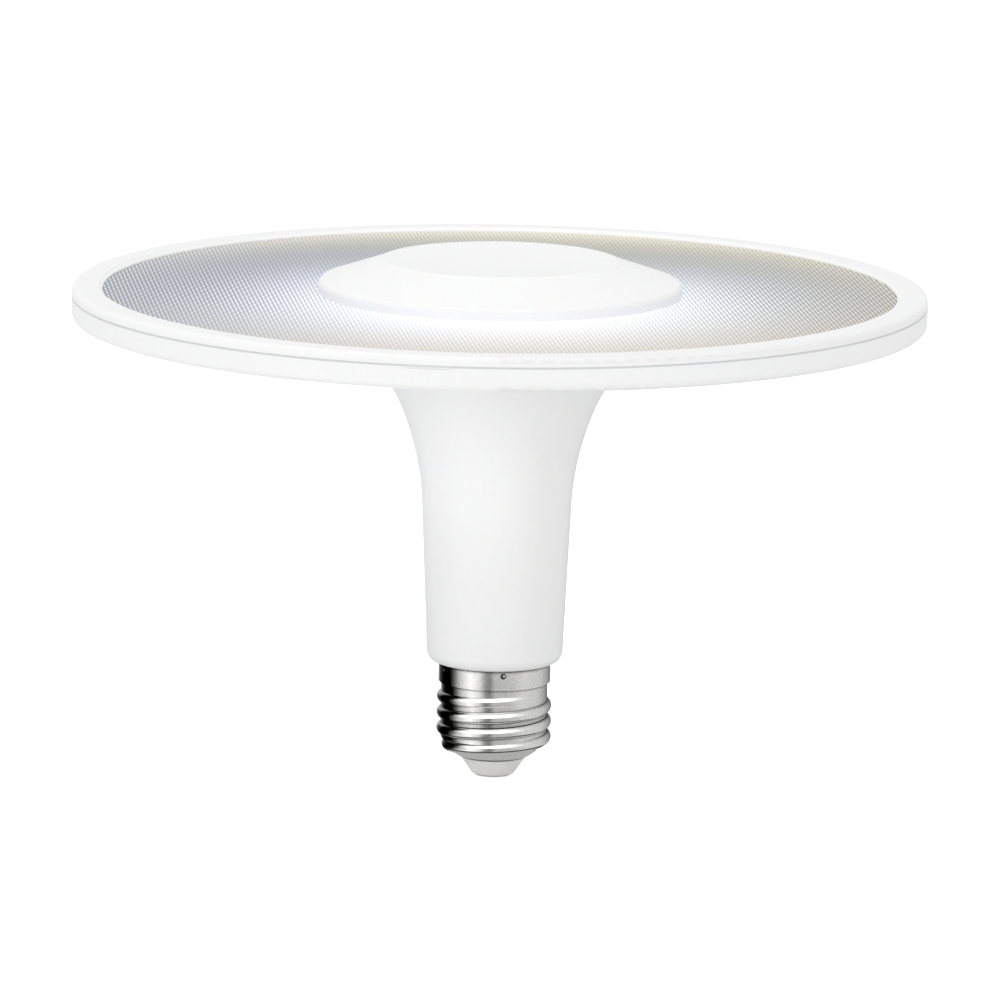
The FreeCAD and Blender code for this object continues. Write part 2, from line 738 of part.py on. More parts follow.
def led_strip():
    """Flexible circuit strip bonded round the drum."""
    inside = DRUM_R + S["glue_gap"]
    outside = DRUM_R + S["strip_thickness"]
    top = STRIP_START + S["strip_height"]
    return turned("led_strip", [
        (inside, STRIP_START),
        (outside, STRIP_START),
        (outside, top),
        (inside, top),
    ])


def leds():
    """LED packages round the strip, facing the plate's inner edge."""
    wide = S["led_width"].value
    tall = S["led_height"].value
    back = DRUM_R.value + S["strip_thickness"].value
    foot = STRIP_START.value + (S["strip_height"].value - tall) / 2
    corner = Vector(back, -wide / 2, foot)
    led = Part.makeBox(S["led_depth"].value, wide, tall, corner)
    return fixed_solids("leds", around(led, int(S["led_count"].value)))


def light_guide_plate():
    """Clear acrylic ring that carries the light out to the rim."""
    return turned("light_guide_plate", [
        (PLATE_BORE_R, PLATE_UNDERSIDE),
        (S["plate_r"], PLATE_UNDERSIDE),
        (S["plate_r"], PLATE_TOP),
        (PLATE_BORE_R, PLATE_TOP),
    ])


def lower_rim_ring():
    """Channel-shaped ring under the plate, with a rib for the plate and a pry notch."""
    wall = S["rim_wall"]
    groove = S["seam_groove"]
    body = turned("lower_rim_ring", [
        (WINDOW_R, RIM_BOTTOM),
        (RIM_R - S["rim_fillet"], RIM_BOTTOM, S["rim_fillet"], 1),
        (RIM_R, RIM_BOTTOM + S["rim_fillet"]),
        (RIM_R, RIM_SEAM - groove),
        (RIM_R - groove, RIM_SEAM),
        (RIM_R - wall, RIM_SEAM),
        (RIM_R - wall, RIM_BOTTOM + wall),
        (WINDOW_R + wall, RIM_BOTTOM + wall),
        (WINDOW_R + wall, PLATE_UNDERSIDE),
        (WINDOW_R, PLATE_UNDERSIDE),
    ])
    volume = body.Shape.Volume
    notch = body.newObject("PartDesign::SubtractiveBox", "pry_notch")
    notch.setExpression("Length", (S["pry_notch_depth"] * 2).formula)
    notch.setExpression("Width", S["pry_notch_width"].formula)
    notch.setExpression("Height", (S["pry_notch_height"] * 2).formula)
    heading = S["pry_notch_turn"] - 90
    notch.setExpression(".Placement.Rotation.Angle", "%s * 1 deg" % heading.formula)
    inset = RIM_R - S["pry_notch_depth"]
    half = S["pry_notch_width"] / 2
    place(notch, x=inset * cosine(heading) + half * sine(heading),
          y=inset * sine(heading) - half * cosine(heading),
          z=RIM_SEAM - S["pry_notch_height"])
    doc.recompute()
    must_change(body, volume, "pry_notch")
    return body


def upper_rim_ring():
    """Ring that clamps the plate from above, with a rib pressed inside the lower ring."""
    groove = S["seam_groove"]
    edge = S["rim_top_edge"]
    bevel = S["window_bevel"]
    rib_inside = RIM_RIB_R - S["rim_rib_wall"]
    rib_foot = PLATE_TOP - S["rim_rib_drop"]
    return turned("upper_rim_ring", [
        (WINDOW_R, PLATE_TOP),
        (rib_inside, PLATE_TOP),
        (rib_inside, rib_foot),
        (RIM_RIB_R, rib_foot),
        (RIM_RIB_R, RIM_SEAM),
        (RIM_R - groove, RIM_SEAM),
        (RIM_R, RIM_SEAM + groove),
        (RIM_R, RIM_TOP - edge, edge, 1),
        (RIM_R - edge, RIM_TOP),
        (WINDOW_R + bevel, RIM_TOP),
        (WINDOW_R, RIM_TOP - bevel),
    ])


def centre_cover():
    """Domed cover with a shallow dish, snapped into the drum by a ring of hooks."""
    wall = S["cover_wall"]
    crest_r = S["cover_crest_r"]
    dish = S["cover_dish"]
    skirt = PLATE_TOP + S["cover_skirt"]
    shoulder = skirt + S["cover_shoulder_rise"]
    shoulder_r = S["hub_r"] - S["cover_shoulder_inset"]
    lip = shoulder + S["cover_cone_rise"]
    lip_r = crest_r + S["cover_lip_width"]
    crest = lip + S["cover_lip_rise"]
    dish_bow = (crest_r * crest_r + dish * dish) / (dish * 2)
    cone_slope = S["cover_cone_rise"] / (shoulder_r - lip_r)
    inside_lip_r = crest_r + wall / 4
    inside_lip = crest - wall
    inside_shoulder_r = S["hub_r"] - wall
    inside_shoulder = inside_lip - cone_slope * (inside_shoulder_r - inside_lip_r)
    body = turned("centre_cover", [
        (0, crest - dish - wall),
        (0, crest - dish, dish_bow, 1),
        (crest_r, crest, S["cover_lip_round"], -1),
        (lip_r, lip),
        (shoulder_r, shoulder, S["cover_shoulder_round"], -1),
        (S["hub_r"], skirt),
        (S["hub_r"], PLATE_TOP),
        (inside_shoulder_r, PLATE_TOP),
        (inside_shoulder_r, inside_shoulder),
        (inside_lip_r, inside_lip, dish_bow + wall, -1),
    ])
    arm_outside = DRUM_LIP_R - S["hook_clearance"]
    arm_inside = arm_outside - S["hook_wall"]
    arm_top = inside_lip - cone_slope * (arm_outside - inside_lip_r) + wall / 2
    section = outline(body, "hook_section", [
        (arm_inside, HOOK_FOOT),
        (arm_outside, HOOK_FOOT),
        (arm_outside + S["hook_catch"], HOOK_TOP),
        (arm_outside, HOOK_TOP),
        (arm_outside, arm_top),
        (arm_inside, arm_top),
    ])
    volume = body.Shape.Volume
    hook = body.newObject("PartDesign::Pad", "hook")
    hook.Profile = section
    hook.Midplane = True
    hook.setExpression("Length", S["hook_width"].formula)
    doc.recompute()
    volume = must_change(body, volume, "hook")
    polar(body, hook, "hooks", S["hook_count"])
    must_change(body, volume, "hooks")
    return body


def block(body, kind, name, x, y, z, size_x, size_y, size_z):
    """Add or cut a block from its lowest corner."""
    volume = body.Shape.Volume if not body.Shape.isNull() else 0
    box = body.newObject(kind, name)
    box.setExpression("Length", as_size(size_x).formula)
    box.setExpression("Width", as_size(size_y).formula)
    box.setExpression("Height", as_size(size_z).formula)
    place(box, x=x, y=y, z=z)
    doc.recompute()
    must_change(body, volume, name)
    return box


def driver_sleeve():
    """Insulating tube on the neck's floor, with grooves for the driver board's edges."""
    inside = SLEEVE_BORE_R
    body = turned("driver_sleeve", [
        (inside, NECK_FLOOR),
        (SLEEVE_R, NECK_FLOOR),
        (SLEEVE_R, SLEEVE_TOP),
        (inside, SLEEVE_TOP),
    ])
    groove = BOARD_FACE + S["rib_clearance"]
    rib_end = groove + S["rib_thickness"]
    rib_root = root(inside * inside - groove * groove) + S["sleeve_wall"] / 2
    rib_start = root(inside * inside - rib_end * rib_end) - S["rib_reach"]
    height = SLEEVE_TOP - NECK_FLOOR
    for word, x in (("right", rib_start), ("left", -rib_root)):
        for row, y in (("back", groove), ("front", -rib_end)):
            name = "board_rib_%s_%s" % (word, row)
            block(body, "PartDesign::AdditiveBox", name, x, y, NECK_FLOOR,
                  rib_root - rib_start, S["rib_thickness"], height)
    return body


def driver_board():
    """Circuit board that stands in the sleeve's grooves."""
    body = new_body("driver_board")
    block(body, "PartDesign::AdditiveBox", "board_blank", -BOARD_HALF_WIDTH, -BOARD_FACE, BOARD_START,
          BOARD_HALF_WIDTH * 2, S["board_thickness"], BOARD_END - BOARD_START)
    return body


def bridge_rectifier():
    body = new_body("bridge_rectifier")
    block(body, "PartDesign::AdditiveBox", "rectifier_case", -(S["rectifier_wide"] / 2),
          -(BOARD_FACE + S["rectifier_tall"]), BOARD_START + S["rectifier_place"],
          S["rectifier_wide"], S["rectifier_tall"], S["rectifier_long"])
    return body


def driver_chip():
    body = new_body("driver_chip")
    block(body, "PartDesign::AdditiveBox", "chip_case", -(S["chip_wide"] / 2),
          -(BOARD_FACE + S["chip_tall"]), BOARD_START + S["chip_place"],
          S["chip_wide"], S["chip_tall"], S["chip_long"])
    return body


def film_capacitor():
    """Box capacitor with rounded long edges, on the back of the board."""
    body = new_body("film_capacitor")
    case = block(body, "PartDesign::AdditiveBox", "film_case", -(S["film_capacitor_wide"] / 2),
                 -(BOARD_FACE + S["film_capacitor_tall"]), BOARD_START + S["film_capacitor_place"],
                 S["film_capacitor_wide"], S["film_capacitor_tall"], S["film_capacitor_long"])
    edges = []
    far = -(BOARD_FACE.value + S["film_capacitor_tall"].value)
    for index, edge in enumerate(case.Shape.Edges, start=1):
        box = edge.BoundBox
        if box.ZLength > 1 and abs(box.YMin - far) < 1e-6:
            edges.append("Edge%d" % index)
    volume = body.Shape.Volume
    rounding = body.newObject("PartDesign::Fillet", "film_edges")
    rounding.Base = (case, edges)
    rounding.setExpression("Radius", S["film_capacitor_edge"].formula)
    doc.recompute()
    must_change(body, volume, "film_edges")
    return body


def lying_can(label, radius, length, place_on_board, across, side):
    """A can that lies along Z and touches one face of the board."""
    body = new_body(label)
    can = body.newObject("PartDesign::AdditiveCylinder", label + "_can")
    can.setExpression("Radius", radius.formula)
    can.setExpression("Height", length.formula)
    place(can, x=across, y=(BOARD_FACE + radius) * side, z=BOARD_START + place_on_board)
    doc.recompute()
    return body, can


def round_top_edge(body, can, name, radius):
    """Round the upper rim of a can."""
    top = can.Shape.BoundBox.ZMax
    edges = []
    for index, edge in enumerate(can.Shape.Edges, start=1):
        if edge.BoundBox.ZMin > top - 1e-6:
            edges.append("Edge%d" % index)
    rounding = body.newObject("PartDesign::Fillet", name)
    rounding.Base = (can, edges)
    rounding.setExpression("Radius", radius.formula)
    doc.recompute()


def bulk_capacitor():
    radius = (SLEEVE_BORE_R - BOARD_FACE - S["bulk_capacitor_gap"]) / 2
    body, can = lying_can("bulk_capacitor", radius, S["bulk_capacitor_long"], S["bulk_capacitor_place"], 0, 1)
    round_top_edge(body, can, "bulk_capacitor_rim", radius / 8)
    return body


def output_capacitor():
    radius = (SLEEVE_BORE_R - BOARD_FACE - S["output_capacitor_gap"]) / 2
    body, can = lying_can("output_capacitor", radius, S["output_capacitor_long"],
                          S["output_capacitor_place"], 0, 1)
    round_top_edge(body, can, "output_capacitor_rim", radius / 8)
    return body


def fusible_resistor():
    body, can = lying_can("fusible_resistor", S["resistor_r"], S["resistor_long"],
                          S["resistor_place"], -S["resistor_across"], -1)
    round_top_edge(body, can, "resistor_end", S["resistor_r"] / 3)
    return body


def transformer():
    """Ferrite frame round a wound bobbin, standing on the board."""
    body = new_body("transformer")
    start = BOARD_START + S["transformer_place"]
    wide = S["core_wide"]
    limb = S["core_limb"]
    long = S["core_long"]
    half = wide / 2
    tall = root(SLEEVE_BORE_R * SLEEVE_BORE_R - half * half) - BOARD_FACE - S["transformer_gap"]
    block(body, "PartDesign::AdditiveBox", "core_frame", -half, BOARD_FACE, start, wide, tall, long)
    block(body, "PartDesign::SubtractiveBox", "core_window", -(half - limb), BOARD_FACE - 1,
          start + limb, wide - limb * 2, tall + 2, long - limb * 2)
    block(body, "PartDesign::AdditiveBox", "bobbin_foot", -(half - limb), BOARD_FACE,
          start + limb, wide - limb * 2, S["bobbin_flange"], long - limb * 2)
    winding = body.newObject("PartDesign::AdditiveCylinder", "winding")
    winding.Placement = FreeCAD.Placement(Vector(), FreeCAD.Rotation(Vector(1, 0, 0), -90))
    winding.setExpression("Radius", S["winding_r"].formula)
    winding.setExpression("Height", tall.formula)
    place(winding, x=as_size(0), y=BOARD_FACE, z=start + long / 2)
    doc.recompute()
    return body


def lead(label, runs, y):
    """Insulated lead along a flat route at a given y."""
    path = []
    for index, corner in enumerate(runs):
        here = Vector(as_size(corner[0]).value, as_size(y).value, as_size(corner[1]).value)
        if len(corner) == 2:
            path.append((here, here))
            continue
        before = runs[index - 1]
        after = runs[index + 1]
        back = Vector(as_size(before[0]).value, here.y, as_size(before[1]).value) - here
        onward = Vector(as_size(after[0]).value, here.y, as_size(after[1]).value) - here
        half = back.getAngle(onward) / 2
        reach = corner[2].value / math.tan(half)
        entry = here + back.normalize() * reach
        departure = here + onward.normalize() * reach
        path.append((entry, departure, here, corner[2].value, half))
    edges = []
    for index in range(len(path) - 1):
        edges.append(Part.LineSegment(path[index][1], path[index + 1][0]).toShape())
        if len(path[index + 1]) > 2:
            first, last, corner, radius, half = path[index + 1]
            middle = (first + last) * 0.5
            away = (middle - corner).normalize()
            crown = corner + away * (radius / math.sin(half) - radius)
            edges.append(Part.Arc(first, crown, last).toShape())
    spine = Part.Wire(edges)
    start = path[0][1]
    heading = path[1][0] - start
    ring = Part.Wire([Part.makeCircle(S["lead_r"].value, start, heading)])
    feature = doc.addObject("Part::Feature", label)
    feature.Label = label
    feature.Shape = spine.makePipeShell([ring], True, False)
    feature.Placement = FreeCAD.Placement()
    return feature


def live_lead():
    """From the centre contact's shank to the foot of the board."""
    start = S["contact_head"] + S["insulator_rise"] + S["insulator_collar"] + S["contact_peen"]
    bend = S["lead_bend"]
    return lead("live_lead", [
        (as_size(0), start),
        (as_size(0), start + bend * 3, bend),
        (-S["lead_board_across"], BOARD_START - bend * 1.5, bend),
        (-S["lead_board_across"], BOARD_START),
    ], 0)


def neutral_lead():
    """From the screw shell's inside, under the spigot, to the foot of the board."""
    start_r = SHELL_BORE_R - S["lead_r"] * 0.2
    height = SPIGOT_BOTTOM - S["lead_r"] * 1.1
    bend = S["lead_bend"]
    turn_r = SPIGOT_BORE_R - S["lead_r"] * 3
    return lead("neutral_lead", [
        (start_r, height),
        (turn_r, height, bend / 2),
        (turn_r, NECK_FLOOR, bend),
        (S["lead_board_across"], BOARD_START - bend / 2, bend / 2),
        (S["lead_board_across"], BOARD_START),
    ], 0)


def led_lead(label, side):
    """From one face of the board up through the drum to the LED strip."""
    bend = S["lead_bend"] / 2
    return lead(label, [
        (S["led_lead_across"], BOARD_END - S["lead_overlap"]),
        (S["led_lead_across"], LED_LEAD_HEIGHT, bend),
        (DRUM_R - S["glue_gap"] * 2, LED_LEAD_HEIGHT),
    ], (BOARD_FACE + S["lead_r"]) * side)


def failed_objects():
    """Labels of the document's objects that did not come out right."""
    return [item.Label for item in doc.Objects if {"Invalid", "Error"} & set(item.State)]


def write_parts(nodes):
    """Write each piece to its own file once all of them have proved sound."""
    doc.recompute()
    wrong = failed_objects()
    if wrong:
        raise RuntimeError("failed objects: " + ", ".join(wrong))
    for node in nodes:
        if node.Shape.isNull() or not node.Shape.isValid():
            raise RuntimeError("unsound shape: " + node.Label)
    os.makedirs("parts", exist_ok=True)
    for node in nodes:
        node.Shape.exportStep("parts/%s.step" % node.Label)
        print("%-20s solids %2d volume %10.1f" % (node.Label, len(node.Shape.Solids), node.Shape.Volume))


def build():
    nodes = [
        centre_contact(),
        cap_insulator(),
        screw_shell(),
        trumpet_housing(),
        cooling_cup(),
        led_drum(),
        drum_screws(),
        led_strip(),
        leds(),
        light_guide_plate(),
        lower_rim_ring(),
        upper_rim_ring(),
        centre_cover(),
        driver_sleeve(),
        driver_board(),
        bridge_rectifier(),
        driver_chip(),
        film_capacitor(),
        bulk_capacitor(),
        output_capacitor(),
        fusible_resistor(),
        transformer(),
        live_lead(),
        neutral_lead(),
        led_lead("led_lead_front", -1),
        led_lead("led_lead_back", 1),
    ]
    write_parts(nodes)


build()
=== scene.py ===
"""Looks, light and camera for the LED disc bulb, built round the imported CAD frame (metres)."""

import math

import bpy
from mathutils import Matrix, Vector


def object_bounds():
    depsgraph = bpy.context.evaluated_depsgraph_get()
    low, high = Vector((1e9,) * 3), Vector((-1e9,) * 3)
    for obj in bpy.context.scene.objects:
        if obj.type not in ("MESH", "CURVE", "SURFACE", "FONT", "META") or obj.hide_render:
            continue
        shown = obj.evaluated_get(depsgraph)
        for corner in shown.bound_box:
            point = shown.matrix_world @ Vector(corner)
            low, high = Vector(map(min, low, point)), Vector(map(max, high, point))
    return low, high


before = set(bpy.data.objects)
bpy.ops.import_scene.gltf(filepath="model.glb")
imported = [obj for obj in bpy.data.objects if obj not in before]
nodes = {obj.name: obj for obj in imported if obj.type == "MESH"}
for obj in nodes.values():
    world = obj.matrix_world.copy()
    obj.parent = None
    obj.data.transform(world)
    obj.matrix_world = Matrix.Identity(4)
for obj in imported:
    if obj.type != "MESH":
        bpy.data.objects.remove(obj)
size_at_load = [list(corner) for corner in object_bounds()]

# Node materials


class Graph:
    """A new node material with short ways to add and link nodes."""

    def __init__(self, name):
        self.material = bpy.data.materials.new(name)
        self.material.use_nodes = True
        self.tree = self.material.node_tree
        self.shader = self.tree.nodes["Principled BSDF"]
        self.output = self.tree.nodes["Material Output"]

    def add(self, kind, values=None, **settings):
        node = self.tree.nodes.new(kind)
        for key, value in settings.items():
            setattr(node, key, value)
        for key, value in (values or {}).items():
            self.feed(node.inputs[key], value)
        return node

    def feed(self, socket, value):
        if isinstance(value, bpy.types.NodeSocket):
            self.tree.links.new(value, socket)
        else:
            socket.default_value = value

    def math(self, operation, first, second=0.0, third=0.0, clamp=False):
        node = self.add("ShaderNodeMath", operation=operation, use_clamp=clamp)
        for socket, value in zip(node.inputs, (first, second, third)):
            self.feed(socket, value)
        return node.outputs[0]

    def ramp(self, value, low, high, start=0.0, end=1.0, smooth=False):
        """value from low to high becomes start to end."""
        node = self.add("ShaderNodeMapRange", clamp=True)
        node.interpolation_type = "SMOOTHSTEP" if smooth else "LINEAR"
        for name, number in (("Value", value), ("From Min", low), ("From Max", high),
                             ("To Min", start), ("To Max", end)):
            self.feed(node.inputs[name], number)
        return node.outputs[0]

    def mix(self, share, first, second):
        node = self.add("ShaderNodeMix", data_type="RGBA")
        self.feed(node.inputs["Factor"], share)
        self.feed(node.inputs[6], first)
        self.feed(node.inputs[7], second)
        return node.outputs[2]

    def point(self):
        """Where the point is on the lamp, in metres."""
        return self.add("ShaderNodeTexCoord").outputs["Object"]

    def place(self):
        """The same point as separate x, y, z."""
        split = self.add("ShaderNodeSeparateXYZ", {"Vector": self.point()})
        return split.outputs[0], split.outputs[1], split.outputs[2]

    def noise(self, scale, detail=2.0, roughness=0.5, stretch=(1.0, 1.0, 1.0)):
        spread = self.add("ShaderNodeMapping", {"Vector": self.point(), "Scale": stretch})
        return self.add("ShaderNodeTexNoise", {
            "Vector": spread.outputs[0],
            "Scale": scale,
            "Detail": detail,
            "Roughness": roughness,
        }).outputs[0]

    def waves(self, x, y, per_metre):
        """Parallel waves on the plate, with their turns per metre along x and along y."""
        along_x = self.math("MULTIPLY", x, per_metre[0])
        along_y = self.math("MULTIPLY", y, per_metre[1])
        turns = self.math("ADD", along_x, along_y)
        return self.math("COSINE", self.math("MULTIPLY", turns, math.tau))

    def bump(self, height, strength, distance):
        node = self.add("ShaderNodeBump", {
            "Strength": strength,
            "Distance": distance,
            "Height": height,
        })
        self.feed(self.shader.inputs["Normal"], node.outputs[0])

    def turned_edge(self, wall_r, round_r, low_z, high_z):
        """True normals on the outer wall and rounds of a turned ring, in place of its facets' own, with
        painted light where facets tilt down past the round.
        """
        x, y, z = self.place()
        radius = self.distance(x, y)
        down = self.math("MINIMUM", self.math("SUBTRACT", z, low_z), 0.0)
        past = self.math("ADD", down, self.math("MAXIMUM", self.math("SUBTRACT", z, high_z), 0.0))
        rise = self.math("DIVIDE", past, round_r)
        level = self.math("SQRT", self.math("SUBTRACT", 1.0, self.math("MULTIPLY", rise, rise), clamp=True))
        outward = self.math("DIVIDE", level, radius)
        even = self.add("ShaderNodeCombineXYZ", {
            "X": self.math("MULTIPLY", x, outward),
            "Y": self.math("MULTIPLY", y, outward),
            "Z": rise,
        }).outputs[0]
        on_round = self.math("MULTIPLY", self.math("GREATER_THAN", radius, wall_r - round_r),
                             self.math("GREATER_THAN", self.math("ABSOLUTE", rise), 0.0))
        on_edge = self.math("MAXIMUM", on_round, self.math("GREATER_THAN", radius, wall_r - WALL_TOLERANCE))
        own = self.add("ShaderNodeNewGeometry").outputs["Normal"]
        choose = self.add("ShaderNodeMix", {"Factor": on_edge}, data_type="VECTOR")
        self.feed(choose.inputs[4], own)
        self.feed(choose.inputs[5], even)
        bump = self.shader.inputs["Normal"].links[0].from_node
        self.feed(bump.inputs["Normal"], choose.outputs[1])
        # Facets that tilt further down than the true round lose light from above, given back here as
        # painted light
        facet = self.add("ShaderNodeNewGeometry").outputs["True Normal"]
        facet_z = self.add("ShaderNodeSeparateXYZ", {"Vector": facet}).outputs[2]
        tilt = self.math("MAXIMUM", self.math("SUBTRACT", rise, facet_z), 0.0)
        below = self.math("MULTIPLY", on_round, self.math("LESS_THAN", z, low_z))
        self.glow(self.math("MULTIPLY", self.math("MULTIPLY", tilt, below), GIVEN_BACK))

    def glow(self, strength):
        """Adds painted white light that the surface gives off, though it is no lamp."""
        socket = self.shader.inputs["Emission Strength"]
        before = socket.links[0].from_socket if socket.links else 0.0
        self.set(Emission_Color=grey(1.0))
        self.feed(socket, self.math("ADD", strength, before))

    def edge_light(self, radius, height, strength):
        """Painted light on the window's edge, which lightens it as light leaking from the plate would."""
        x, y, z = self.place()
        inside = self.ramp(self.distance(x, y), radius, radius + EDGE_LIGHT_FADE, 1.0, 0.0, True)
        above = self.math("GREATER_THAN", z, height)
        self.glow(self.math("MULTIPLY", self.math("MULTIPLY", inside, above), strength))

    def darken(self, share, level):
        """Takes the base colour down to a level where the share is 1."""
        socket = self.shader.inputs["Base Color"]
        colour = socket.links[0].from_socket
        self.feed(socket, self.mix(share, colour, grey(level)))

    def paint_seam_shadow(self, height, reach, level):
        """Painted shadow in a joint line at one height."""
        z = self.place()[2]
        off = self.math("ABSOLUTE", self.math("SUBTRACT", z, height))
        self.darken(self.ramp(off, reach * SEAM_CORE, reach, 1.0, 0.0, True), level)

    def paint_hollow_shade(self, reach, closed, clear, level):
        """Painted shade in the roots of the thread and where sheet meets sheet, from ambient occlusion."""
        hollow = self.add("ShaderNodeAmbientOcclusion", {"Distance": reach})
        hollow.samples = 8
        self.darken(self.ramp(hollow.outputs["AO"], closed, clear, 1.0, 0.0), level)

    def distance(self, across, along):
        squares = [self.math("MULTIPLY", value, value) for value in (across, along)]
        return self.math("SQRT", self.math("ADD", *squares))

    def paint_dimple_shade(self, level):
        """Painted shade in each punched dimple of the cap's collar, with a painted highlight left bright in
        it.
        """
        x, y, z = self.place()
        step = math.tau / DIMPLE_COUNT
        turn = self.math("ARCTAN2", x, self.math("MULTIPLY", y, -1.0))
        # Part of a step from the nearest dimple, from -0.5 to 0.5
        steps = self.math("DIVIDE", self.math("SUBTRACT", turn, DIMPLE_FIRST), step)
        off = self.math("SUBTRACT", self.math("FRACT", self.math("ADD", steps, 0.5)), 0.5)
        arc = self.math("MULTIPLY", off, step * COLLAR_R)
        rise = self.math("SUBTRACT", z, DIMPLE_Z)
        punch = self.ramp(self.distance(arc, rise), *DIMPLE_EDGE_R, 1.0, 0.0, True)
        highlight_arc = self.math("SUBTRACT", arc, DIMPLE_HIGHLIGHT_AT[0])
        highlight_rise = self.math("SUBTRACT", rise, DIMPLE_HIGHLIGHT_AT[1])
        around_highlight = self.ramp(self.distance(highlight_arc, highlight_rise), *DIMPLE_HIGHLIGHT_R, 0.0, 1.0, True)
        self.darken(self.math("MULTIPLY", punch, around_highlight), level)

    def set(self, **values):
        """Values of the Principled shader, by socket name with underscores."""
        for key, value in values.items():
            self.feed(self.shader.inputs[key.replace("_", " ")], value)


def grey(level, tint=(1.0, 1.0, 1.0)):
    return (level * tint[0], level * tint[1], level * tint[2], 1.0)


def moulded(name, colour, roughness=0.38, speck=0.006, gloss=0.5):
    """Moulded plastic: a slight mottle in the colour and a very fine surface texture."""
    g = Graph(name)
    mottle = g.noise(900.0, 3.0)
    darker = tuple(c * (1.0 - speck * 2) for c in colour[:3]) + (1.0,)
    g.set(Base_Color=g.mix(g.ramp(mottle, 0.3, 0.7), darker, colour))
    g.set(Roughness=g.ramp(g.noise(260.0, 2.0), 0.3, 0.7, roughness - 0.03, roughness + 0.03))
    g.set(Specular_IOR_Level=gloss)
    g.bump(g.noise(2600.0, 2.0), 0.05, 0.00002)
    return g


def metal(name, colour, roughness, grain=0.05, scale=1800.0, stretch=(1.0, 1.0, 1.0), speck=0.1):
    """Bare or plated metal with a fine grain in its gloss and surface."""
    g = Graph(name)
    grains = g.noise(scale, 4.0, 0.65, stretch)
    darker = tuple(c * (1.0 - speck) for c in colour[:3]) + (1.0,)
    g.set(Base_Color=g.mix(g.ramp(grains, 0.35, 0.65), darker, colour), Metallic=1.0)
    g.set(Roughness=g.ramp(grains, 0.3, 0.7, roughness - grain, roughness + grain))
    g.bump(grains, 0.12, 0.00001)
    return g


def paint(node_name, graph):
    slots = nodes[node_name].data.materials
    slots.clear()
    slots.append(graph.material)
    for polygon in nodes[node_name].data.polygons:
        polygon.material_index = 0


# Rim: its outer wall, the centres of its rounds, its seam and the window that it frames

RIM_R = size_at_load[1][0]
RIM_ROUND_R = 0.0015
LOW_ROUND_Z = 0.1064
HIGH_ROUND_Z = 0.111
SEAM_Z = 0.1102
SEAM_REACH = 0.00026
# Share of a seam's reach where its painted shadow is fully dark
SEAM_CORE = 0.4
LIT_EDGE_R = 0.0902
LIT_EDGE_Z = 0.1113
EDGE_LIGHT_FADE = 0.0008
# How far inside the rim's radius the facets of its wall may lie
WALL_TOLERANCE = 0.0001
# Painted light given back for the tilt of a facet past the true round
GIVEN_BACK = 0.1

# Cap: its mouth, its thread's roots, its collar and the collar's dimples

MOUTH_Z = 0.0044
MOUTH_REACH = 0.0006
COLLAR_R = 0.01275
DIMPLE_COUNT = 5
DIMPLE_FIRST = math.radians(9.4)
DIMPLE_Z = 0.0252
# Radii at which the painted shade of a dimple starts and ends to fade, and those of its painted highlight
DIMPLE_EDGE_R = (0.0006, 0.00078)
DIMPLE_HIGHLIGHT_R = (0.0002, 0.00036)
# Where that painted highlight lies from the dimple's centre: round the collar, and up
DIMPLE_HIGHLIGHT_AT = (0.00018, 0.00012)
THREAD_ROOT_REACH = 0.0013

# Outside finishes

neck_white = moulded("neck_white", grey(0.88), 0.42, gloss=0.4)
neck_white.set(Subsurface_Weight=0.06, Subsurface_Scale=0.002)
rim_white = moulded("rim_white", grey(0.88), 0.48, gloss=0.3)
rim_white.set(Subsurface_Weight=0.06, Subsurface_Scale=0.002)
# Painted shadow line in the rim's seam
rim_white.paint_seam_shadow(SEAM_Z, SEAM_REACH, 0.74)
rim_white.turned_edge(RIM_R, RIM_ROUND_R, LOW_ROUND_Z, HIGH_ROUND_Z)
# Painted light on the rim's edge by the window
rim_white.edge_light(LIT_EDGE_R, LIT_EDGE_Z, 0.07)
cover_white = moulded("cover_white", grey(0.89), 0.42, gloss=0.3)
cover_white.set(Subsurface_Weight=0.06, Subsurface_Scale=0.002)
insulator_white = moulded("insulator_pale", grey(0.87, (1.0, 0.995, 0.985)), 0.45, 0.02)

cap_plate = metal("cap_plating", grey(0.84, (1.0, 0.995, 0.985)), 0.11, 0.04, 1900.0, speck=0.15)
# Painted shade in the thread's roots
cap_plate.paint_hollow_shade(THREAD_ROOT_REACH, 0.66, 0.88, 0.01)
# Painted shadow line under the lip at the cap's mouth
cap_plate.paint_seam_shadow(MOUTH_Z, MOUTH_REACH, 0.03)
# Painted shade and highlight in the collar's dimples
cap_plate.paint_dimple_shade(0.05)
tip_plate = metal("tip_plating", grey(0.72, (1.0, 0.98, 0.94)), 0.3)

# Light that the guide gives off, as a smooth sum over the plate for red, green and blue; some of its terms
# are painted light, as noted at each.
# The weights come from a least squares fit to the photo's colours on the plate, rounded to
# two places. They weren't chosen by hand.
# hub is 1 at the inner edge and 0 at the window's edge; front and side run from -1 to 1.
GUIDE_AND_PAINTED_LIGHT = {
    # Near the LEDs it is brightest, and a little blue between hub and edge
    "hub hub": (0.44, 0.45, 0.44),
    "hub": (-0.1, -0.08, 0.0),
    # Painted highlight: in front of the hub, on the camera's side, it burns out, and behind it the plate is
    # painted dim
    "front hub": (0.59, 0.57, 0.54),
    # The front and back edges are warm, the back one a little brighter
    "front front": (0.27, 0.25, 0.15),
    "front": (-0.04, -0.04, -0.02),
    # Painted light of the surroundings: the right is warmer than the left, both far sides gain a little,
    # and beside the hub the right is the brighter
    "side": (0.02, 0.01, -0.03),
    "side side": (0.04, 0.04, 0.04),
    "side hub": (0.05, 0.06, 0.07),
}
WINDOW_R = 0.0899
HUB_R = 0.0412

